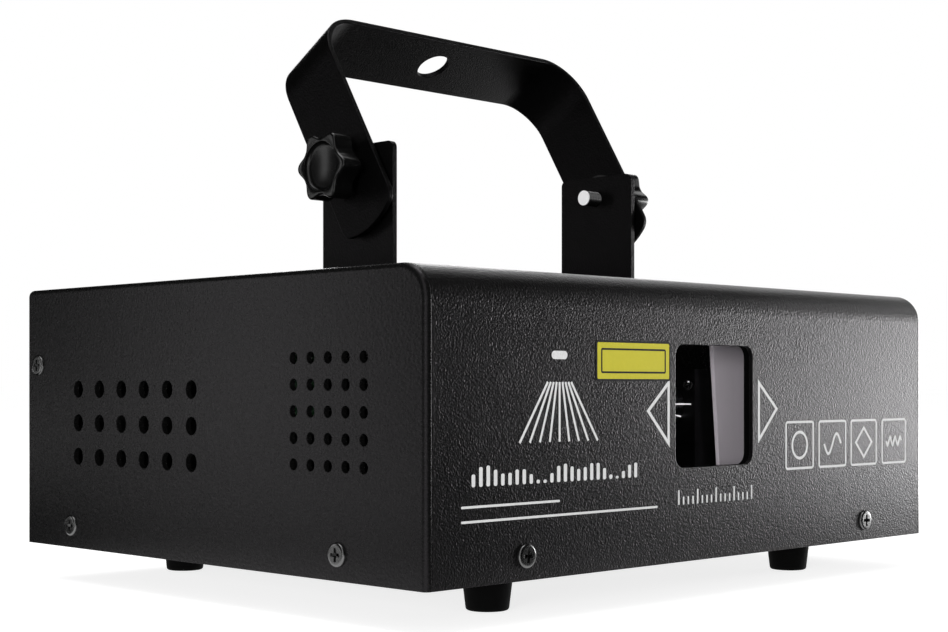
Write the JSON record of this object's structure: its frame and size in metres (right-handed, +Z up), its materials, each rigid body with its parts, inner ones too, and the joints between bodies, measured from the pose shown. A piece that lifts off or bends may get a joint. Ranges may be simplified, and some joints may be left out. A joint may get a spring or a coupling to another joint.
{
  "type": "laser show projector",
  "caption": "Folded steel laser show projector with a beam window, side vents, rubber feet and a roof yoke that tilts and locks with star knobs.",
  "frame": {"origin": "on the floor under the middle of the housing", "axes": "+X right seen from the front, +Y back, +Z up; the beam window faces -Y"},
  "size_m": [0.2684, 0.2174, 0.2023],
  "materials": {
    "grain_coat": "coarse black powder coat",
    "fine_coat": "fine black powder coat",
    "bracket_coat": "satin black powder coat",
    "grey_coat": "matt grey paint",
    "plated_steel": "bright zinc plate",
    "black_screw": "black oxide",
    "black_rubber": "moulded rubber",
    "knob_plastic": "moulded plastic",
    "fibre": "moulded washer",
    "clear_glass": "clear window glass",
    "smoked_window": "smoked display window",
    "black_plastic": "moulded plastic",
    "rocker_plastic": "glossy rocker",
    "button_plastic": "moulded button",
    "anodised": "black anodised",
    "bare_aluminium": "machined",
    "mirror_coat": "coated mirror",
    "steel_shaft": "ground steel",
    "sheet_zinc": "galvanised sheet",
    "board_green": "circuit board",
    "contact_brass": "plated contacts"
  },
  "bodies": {
    "housing": {"left_side_panel": "fine_coat", "right_side_panel": "fine_coat", "front_top_cover": "grain_coat", "base_tray": "fine_coat", "rear_panel": "fine_coat", "side_panel_screws": "black_screw", "front_cover_screws": "black_screw", "rear_panel_screws": "black_screw", "rubber_feet": "black_rubber", "foot_screws": "plated_steel", "window_frame": "black_plastic", "window_glass": "clear_glass", "saddle_bracket": "bracket_coat", "roof_stiffener": "sheet_zinc", "saddle_screws": "black_screw", "optical_bench": "bare_aluminium", "beam_shield": "grey_coat", "board_standoffs": "contact_brass", "red_laser_module": "anodised", "green_laser_module": "anodised", "blue_laser_module": "anodised", "combiner_mirrors": "mirror_coat", "combiner_mounts": "anodised", "laser_heatsink": "anodised", "scanner_block": "anodised", "x_scanner_motor": "steel_shaft", "y_scanner_motor": "steel_shaft", "scanner_driver_board": "board_green", "control_board": "board_green", "power_supply_case": "sheet_zinc", "power_supply_cover": "sheet_zinc", "power_supply_board": "board_green", "fan_frame": "black_plastic", "fan_screws": "black_screw", "display_window": "smoked_window", "mains_inlet": "black_plastic", "mains_inlet_pins": "contact_brass", "power_switch_frame": "black_plastic", "dmx_input_socket": "black_plastic", "dmx_input_pins": "contact_brass", "dmx_output_socket": "black_plastic", "socket_screws": "black_screw"},
    "yoke": {"hanging_yoke": "bracket_coat", "friction_washers": "fibre"},
    "left_washer": {"left_knob_washer": "plated_steel"},
    "left_knob": {"left_knob": "knob_plastic", "left_knob_stud": "plated_steel"},
    "right_washer": {"right_knob_washer": "plated_steel"},
    "right_knob": {"right_knob": "knob_plastic", "right_knob_stud": "plated_steel"},
    "x_scan": {"x_scan_shaft": "steel_shaft", "x_scan_mirror": "mirror_coat"},
    "y_scan": {"y_scan_shaft": "steel_shaft", "y_scan_mirror": "mirror_coat"},
    "fan": {"fan_rotor": "black_plastic"},
    "rocker": {"power_rocker": "rocker_plastic"},
    "enter": {"enter_button": "button_plastic"},
    "up": {"up_button": "button_plastic"},
    "down": {"down_button": "button_plastic"},
    "menu": {"menu_button": "button_plastic"}
  },
  "joints": [
    {"name": "yoke_tilt", "type": "hinge", "parent": "housing", "child": "yoke", "pos_m": [0, 0, 0.1445], "axis": [1, 0, 0], "range_deg": [-79, 140]},
    {"name": "left_washer_slide", "type": "slide", "parent": "housing", "child": "left_washer", "axis": [-1, 0, 0], "range_m": [0, 0.003]},
    {"name": "left_knob_turn", "type": "hinge", "parent": "left_washer", "child": "left_knob", "pos_m": [-0.08, 0, 0.1445], "axis": [-1, 0, 0], "range_deg": [0, 1080]},
    {"name": "right_washer_slide", "type": "slide", "parent": "housing", "child": "right_washer", "axis": [1, 0, 0], "range_m": [0, 0.003]},
    {"name": "right_knob_turn", "type": "hinge", "parent": "right_washer", "child": "right_knob", "pos_m": [0.08, 0, 0.1445], "axis": [1, 0, 0], "range_deg": [0, 1080]},
    {"name": "x_scan_swing", "type": "hinge", "parent": "housing", "child": "x_scan", "pos_m": [0, -0.0725, 0.0425], "axis": [0, 1, 0], "range_deg": [-15, 15]},
    {"name": "y_scan_swing", "type": "hinge", "parent": "housing", "child": "y_scan", "pos_m": [0, -0.0725, 0.0626], "axis": [1, 0, 0], "range_deg": [-15, 15]},
    {"name": "fan_spin", "type": "hinge", "parent": "housing", "child": "fan", "pos_m": [-0.0895, 0.0959, 0.058], "axis": [0, 1, 0], "continuous": true},
    {"name": "rocker_tilt", "type": "hinge", "parent": "housing", "child": "rocker", "pos_m": [0.099, 0.1025, 0.07325], "axis": [-1, 0, 0], "range_deg": [0, 18]},
    {"name": "enter_press", "type": "slide", "parent": "housing", "child": "enter", "axis": [0, -1, 0], "range_m": [0, 0.0008], "stiffness_N_per_m": 500},
    {"name": "up_press", "type": "slide", "parent": "housing", "child": "up", "axis": [0, -1, 0], "range_m": [0, 0.0008], "stiffness_N_per_m": 500},
    {"name": "down_press", "type": "slide", "parent": "housing", "child": "down", "axis": [0, -1, 0], "range_m": [0, 0.0008], "stiffness_N_per_m": 500},
    {"name": "menu_press", "type": "slide", "parent": "housing", "child": "menu", "axis": [0, -1, 0], "range_m": [0, 0.0008], "stiffness_N_per_m": 500}
  ],
  "couplings": [
    {"joint": "left_knob_turn", "follows": "left_washer_slide", "rad_per_m": 6283.2},
    {"joint": "right_knob_turn", "follows": "right_washer_slide", "rad_per_m": 6283.2}
  ]
}
